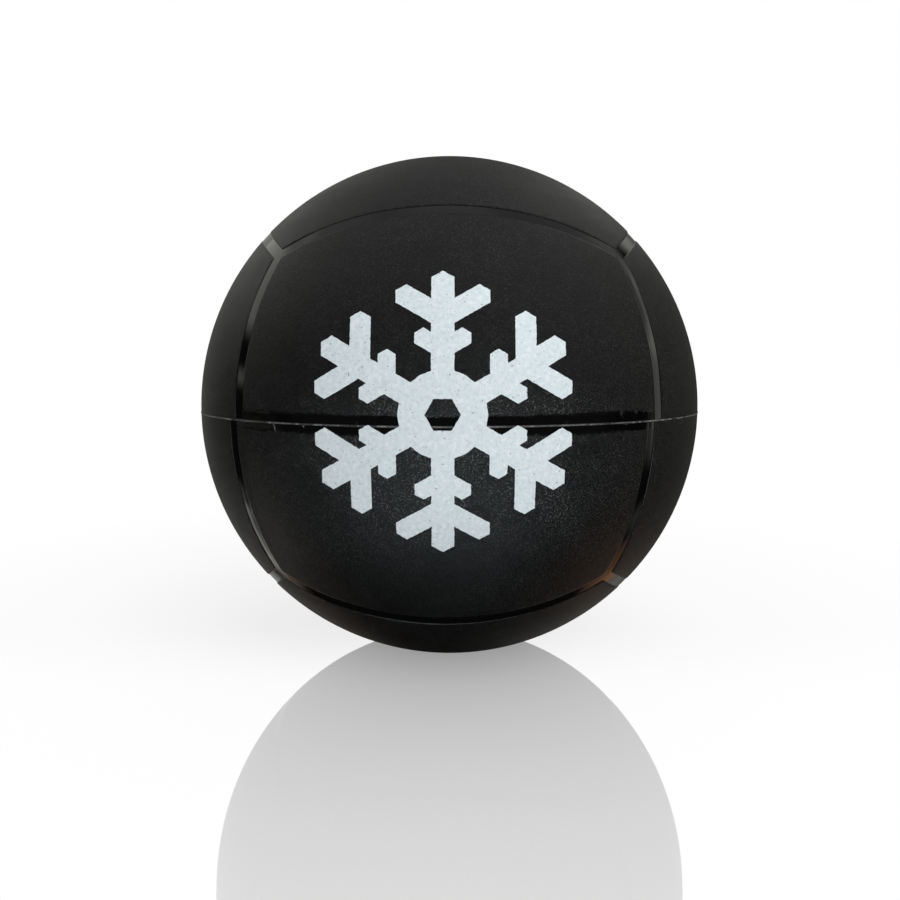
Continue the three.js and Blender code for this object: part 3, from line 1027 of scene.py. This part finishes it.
def surround(name, radius, lit_things):
    """A round room that only gloss shows, and only in the gloss of the things it lights."""
    mesh = bpy.data.meshes.new(name)
    shape = bmesh.new()
    bmesh.ops.create_uvsphere(shape, u_segments=48, v_segments=24, radius=radius)
    shape.to_mesh(mesh)
    shape.free()
    room = placed(name, mesh)
    room.visible_camera = False
    room.visible_diffuse = False
    room.visible_shadow = False
    room.visible_transmission = False
    receivers = bpy.data.collections.new(name + "_receivers")
    for thing in lit_things:
        receivers.objects.link(thing)
    room.light_linking.receiver_collection = receivers
    return room


def white_room(lit_things):
    """The floor's polish shows white wherever it doesn't show the ball."""
    room = surround("white_room", WHITE_ROOM_RADIUS, lit_things)
    material, g = new_material("white_walls")
    end_material(g, g.node("ShaderNodeEmission", None, {"Color": WHITE, "Strength": 1.0}))
    room.data.materials.append(material)


def light_tent(lit_things):
    """A tent of dark cloth, soft boxes and a bright table, for the ball's gloss and for nothing else."""
    tent = surround("light_tent", TENT_RADIUS, lit_things)
    material, g = new_material("tent_cloth")
    place = place_on_object(g)
    direction = g.vector("NORMALIZE", place)
    elevation = g.math("ARCSINE", g.axis(direction, "Z")) * (180 / math.pi)
    azimuth = g.math("ARCTAN2", g.axis(direction, "X"), 0 - g.axis(direction, "Y")) * (180 / math.pi)

    def between(value, low, high, soft):
        return g.sharper(value, low - soft, low + soft) * g.sharper(value, high + soft, high - soft)

    def window(low, high, left, right, soft):
        return between(elevation, low, high, soft) * between(azimuth, left, right, soft)

    def strip(left, left_level, right, right_level, half_height, soft):
        climb = (right_level - left_level) / (right - left)
        off = abs(elevation - left_level - (azimuth - left) * climb)
        return g.sharper(off, half_height + soft, half_height - soft) * between(azimuth, left, right, soft)

    # The cloth brightens overhead, then come the patches and strips of light
    glow = DARK_CLOTH + 0.275 * g.sharper(elevation, 32, 52) + 0.14 * g.sharper(elevation, 70, 80)
    for brightness, *where in TENT_PATCHES:
        glow = glow + brightness * window(*where)
    for brightness, *where in TENT_STRIPS:
        glow = glow + brightness * strip(*where)

    # Walls behind the ball are yellowish, the table behind it is brown, and the table before it bluish
    beyond = window(-70, 45, -185, -80, 8) + window(-70, 45, 80, 185, 8)
    warm = window(-47, -32, 117, 143, 3) + window(-62, -47, 90, 175, 5) * 0.2
    warm = warm + window(-50, -34, -170, -105, 3) * 0.5
    cool = window(-60, -15, -50, 50, 6)
    tint = g.mixed(beyond, WHITE, YELLOWISH)
    tint = g.mixed(warm, tint, BROWN)
    tint = g.mixed(cool, tint, BLUISH)
    shine = g.node("ShaderNodeEmission", None, {"Color": tint, "Strength": glow})
    clear = g.node("ShaderNodeBsdfTransparent")
    end_material(g, g.node("ShaderNodeAddShader", None, {0: clear, 1: shine}))
    tent.data.materials.append(material)


def add_world():
    """White to the camera, to gloss and through glass, and a dimmer even light on surfaces."""
    world = bpy.data.worlds.new("studio")
    bpy.context.scene.world = world
    world.use_nodes = True
    world.node_tree.nodes.clear()
    g = Graph(world.node_tree)
    strength = WORLD_LIGHT + white_where_seen(g) * (1 - WORLD_LIGHT)
    white = g.node("ShaderNodeBackground", None, {"Color": WHITE, "Strength": strength})
    g.node("ShaderNodeOutputWorld", None, {"Surface": white})


# Assembly

rubber = moulded_rubber()
shell_recipe = half_shell_recipe()
upper = drill_valve_hole(half_shell("upper_shell_skin", shell_recipe, rubber, seed=1.3))
lower = half_shell("lower_shell_skin", shell_recipe, rubber, seed=5.9)
turned_over = Matrix.Rotation(math.pi, 4, "X")
out_of_line = Matrix.Rotation(math.radians(REGISTER_ERROR), 4, "Z")
lower.data.transform(out_of_line @ turned_over)
for shell, node in ((upper, "upper_half_shell"), (lower, "lower_half_shell")):
    smoothed(shell, 50)
    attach(shell, "root")
    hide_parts(node)

joint = bonded_joint(grey_cement())
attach(joint, "root")
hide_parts("seam_bond")

housing = valve_housing()
housing.data.materials.append(valve_rubber("valve_boot_rubber", tone=0.02, roughness=0.45))
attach(housing, "root")
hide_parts("valve_housing")

plug = valve_plug()
plug.data.materials.append(valve_rubber("valve_plug_rubber", tone=0.01, roughness=0.35))
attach(plug, "root")
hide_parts("valve_plug")

flake = snowflake_print(white_ink())
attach(flake, "root")

add_camera()
floor = add_floor()
white_room([floor])
light_tent([upper, lower, joint, housing, plug, flake])
add_world()
add_soft_lamp("front_lamp", (0.5, -0.95, 0.7), size=0.8, watts=7)
add_soft_lamp("top_lamp", (0.3, -0.2, 1.2), size=1.4, watts=6)

bpy.context.scene.view_settings.view_transform = "Standard"
